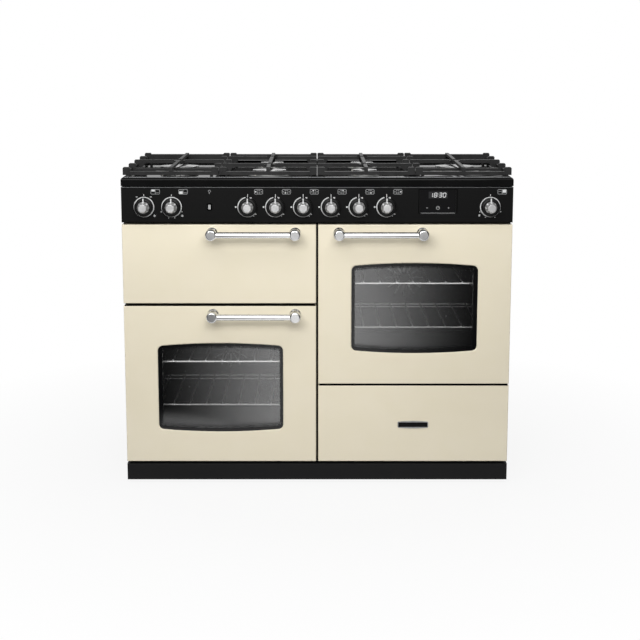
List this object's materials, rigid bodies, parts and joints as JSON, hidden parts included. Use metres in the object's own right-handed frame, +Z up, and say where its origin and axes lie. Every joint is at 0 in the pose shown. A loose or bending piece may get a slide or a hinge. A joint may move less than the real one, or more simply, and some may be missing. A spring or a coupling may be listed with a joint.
{
  "type": "range cooker",
  "caption": "Range cooker with a gas hob on cast pan supports, drop-down grill, side-opening ovens with arched windows, storage drawer, knobs, clock and chrome bar handles.",
  "frame": {"origin": "on the floor, under the middle of the box round the whole cooker", "axes": "+X along the width, to the right seen from the front; +Y from the front to the back, so the doors face -Y; +Z up"},
  "size_m": [1.1, 0.664, 0.918],
  "materials": {
    "cream_enamel": "glossy cream enamel",
    "black_enamel": "glossy black enamel",
    "panel_paint": "satin black paint",
    "cast_iron": "matt enamelled castings",
    "burner_alloy": "satin cast alloy",
    "sheet_steel": "satin zinc-coated sheet",
    "chrome": "bright chrome",
    "dark_glass": "tinted toughened glass",
    "clock_glass": "glossy black window",
    "brass": "machined brass",
    "seal_rubber": "matt silicone rubber",
    "roller_plastic": "moulded nylon",
    "knob_plastic": "moulded knob with a silver grip",
    "ceramic": "glazed ceramic",
    "lamp_glass": "clear glass dome"
  },
  "bodies": {
    "casing": {"base_frame": "black_enamel", "side_panels": "panel_paint", "rear_panel": "sheet_steel", "centre_divider": "sheet_steel", "front_frame": "black_enamel", "plinth": "panel_paint", "levelling_feet": "sheet_steel", "hob_tray": "black_enamel", "burner_bases": "burner_alloy", "burner_heads": "burner_alloy", "burner_caps": "black_enamel", "electrodes": "ceramic", "outer_pan_supports": "cast_iron", "centre_pan_supports": "cast_iron", "control_panel": "panel_paint", "clock_module": "clock_glass", "gas_rail": "brass", "gas_pipe": "brass", "oven_controls": "knob_plastic", "terminal_box": "sheet_steel", "grill_liner": "black_enamel", "grill_pan": "sheet_steel", "oven_liners": "black_enamel", "shelf_rails": "chrome", "oven_shelves": "chrome", "fan_covers": "black_enamel", "heating_elements": "sheet_steel", "fan_motors": "sheet_steel", "oven_lamps": "lamp_glass", "door_seals": "seal_rubber", "drawer_runners": "sheet_steel"},
    "grill_door": {"grill_door": "cream_enamel", "grill_handle": "chrome"},
    "left_oven_door": {"left_oven_door": "cream_enamel", "left_window_glass": "dark_glass", "left_handle": "chrome"},
    "right_oven_door": {"right_oven_door": "cream_enamel", "right_window_glass": "dark_glass", "right_handle": "chrome"},
    "drawer": {"drawer_front": "cream_enamel", "drawer_box": "sheet_steel"},
    "left_fan": {"left_fan": "sheet_steel"},
    "right_fan": {"right_fan": "sheet_steel"},
    "rear_rollers": {"rear_rollers": "roller_plastic"},
    "light_button": {"light_button": "knob_plastic"},
    "grill_knob": {"grill_knob": "knob_plastic"},
    "left_oven_knob": {"left_oven_knob": "knob_plastic"},
    "right_oven_knob": {"right_oven_knob": "knob_plastic"},
    "tap_spindle_1": {"tap_spindle_1": "sheet_steel"},
    "hob_knob_1": {"hob_knob_1": "knob_plastic"},
    "tap_spindle_2": {"tap_spindle_2": "sheet_steel"},
    "hob_knob_2": {"hob_knob_2": "knob_plastic"},
    "tap_spindle_3": {"tap_spindle_3": "sheet_steel"},
    "hob_knob_3": {"hob_knob_3": "knob_plastic"},
    "tap_spindle_4": {"tap_spindle_4": "sheet_steel"},
    "hob_knob_4": {"hob_knob_4": "knob_plastic"},
    "tap_spindle_5": {"tap_spindle_5": "sheet_steel"},
    "hob_knob_5": {"hob_knob_5": "knob_plastic"},
    "tap_spindle_6": {"tap_spindle_6": "sheet_steel"},
    "hob_knob_6": {"hob_knob_6": "knob_plastic"}
  },
  "joints": [
    {"name": "grill_door_hinge", "type": "hinge", "parent": "casing", "child": "grill_door", "pos_m": [-0.2765, -0.266, 0.54], "axis": [1, 0, 0], "range_deg": [0, 90]},
    {"name": "left_oven_door_hinge", "type": "hinge", "parent": "casing", "child": "left_oven_door", "pos_m": [-0.542, -0.254, 0.2965], "axis": [0, 0, -1], "range_deg": [0, 110]},
    {"name": "right_oven_door_hinge", "type": "hinge", "parent": "casing", "child": "right_oven_door", "pos_m": [0.542, -0.254, 0.5285], "axis": [0, 0, 1], "range_deg": [0, 110]},
    {"name": "drawer_slide", "type": "slide", "parent": "casing", "child": "drawer", "axis": [0, -1, 0], "range_m": [0, 0.38]},
    {"name": "tap_push_1", "type": "slide", "parent": "casing", "child": "tap_spindle_1", "axis": [0, 1, 0], "range_m": [0, 0.004], "stiffness_N_per_m": 800},
    {"name": "hob_knob_turn_1", "type": "hinge", "parent": "tap_spindle_1", "child": "hob_knob_1", "pos_m": [-0.195, -0.29, 0.809], "axis": [0, -1, 0], "range_deg": [0, 230]},
    {"name": "tap_push_2", "type": "slide", "parent": "casing", "child": "tap_spindle_2", "axis": [0, 1, 0], "range_m": [0, 0.004], "stiffness_N_per_m": 800},
    {"name": "hob_knob_turn_2", "type": "hinge", "parent": "tap_spindle_2", "child": "hob_knob_2", "pos_m": [-0.117, -0.29, 0.809], "axis": [0, -1, 0], "range_deg": [0, 230]},
    {"name": "tap_push_3", "type": "slide", "parent": "casing", "child": "tap_spindle_3", "axis": [0, 1, 0], "range_m": [0, 0.004], "stiffness_N_per_m": 800},
    {"name": "hob_knob_turn_3", "type": "hinge", "parent": "tap_spindle_3", "child": "hob_knob_3", "pos_m": [-0.039, -0.29, 0.809], "axis": [0, -1, 0], "range_deg": [0, 230]},
    {"name": "tap_push_4", "type": "slide", "parent": "casing", "child": "tap_spindle_4", "axis": [0, 1, 0], "range_m": [0, 0.004], "stiffness_N_per_m": 800},
    {"name": "hob_knob_turn_4", "type": "hinge", "parent": "tap_spindle_4", "child": "hob_knob_4", "pos_m": [0.039, -0.29, 0.809], "axis": [0, -1, 0], "range_deg": [0, 230]},
    {"name": "tap_push_5", "type": "slide", "parent": "casing", "child": "tap_spindle_5", "axis": [0, 1, 0], "range_m": [0, 0.004], "stiffness_N_per_m": 800},
    {"name": "hob_knob_turn_5", "type": "hinge", "parent": "tap_spindle_5", "child": "hob_knob_5", "pos_m": [0.117, -0.29, 0.809], "axis": [0, -1, 0], "range_deg": [0, 230]},
    {"name": "tap_push_6", "type": "slide", "parent": "casing", "child": "tap_spindle_6", "axis": [0, 1, 0], "range_m": [0, 0.004], "stiffness_N_per_m": 800},
    {"name": "hob_knob_turn_6", "type": "hinge", "parent": "tap_spindle_6", "child": "hob_knob_6", "pos_m": [0.195, -0.29, 0.809], "axis": [0, -1, 0], "range_deg": [0, 230]},
    {"name": "grill_knob_turn", "type": "hinge", "parent": "casing", "child": "grill_knob", "pos_m": [-0.486, -0.29, 0.809], "axis": [0, 1, 0], "range_deg": [0, 275]},
    {"name": "left_oven_knob_turn", "type": "hinge", "parent": "casing", "child": "left_oven_knob", "pos_m": [-0.4085, -0.29, 0.809], "axis": [0, 1, 0], "range_deg": [0, 275]},
    {"name": "right_oven_knob_turn", "type": "hinge", "parent": "casing", "child": "right_oven_knob", "pos_m": [0.486, -0.29, 0.809], "axis": [0, 1, 0], "range_deg": [0, 275]},
    {"name": "light_button_push", "type": "slide", "parent": "casing", "child": "light_button", "axis": [0, 1, 0], "range_m": [0, 0.002], "stiffness_N_per_m": 500},
    {"name": "left_fan_spin", "type": "hinge", "parent": "casing", "child": "left_fan", "pos_m": [-0.2765, 0.19, 0.296], "axis": [0, 1, 0], "continuous": true},
    {"name": "right_fan_spin", "type": "hinge", "parent": "casing", "child": "right_fan", "pos_m": [0.2765, 0.19, 0.527], "axis": [0, 1, 0], "continuous": true},
    {"name": "rear_roller_spin", "type": "hinge", "parent": "casing", "child": "rear_rollers", "pos_m": [0, 0.2645, 0.016], "axis": [1, 0, 0], "continuous": true}
  ]
}
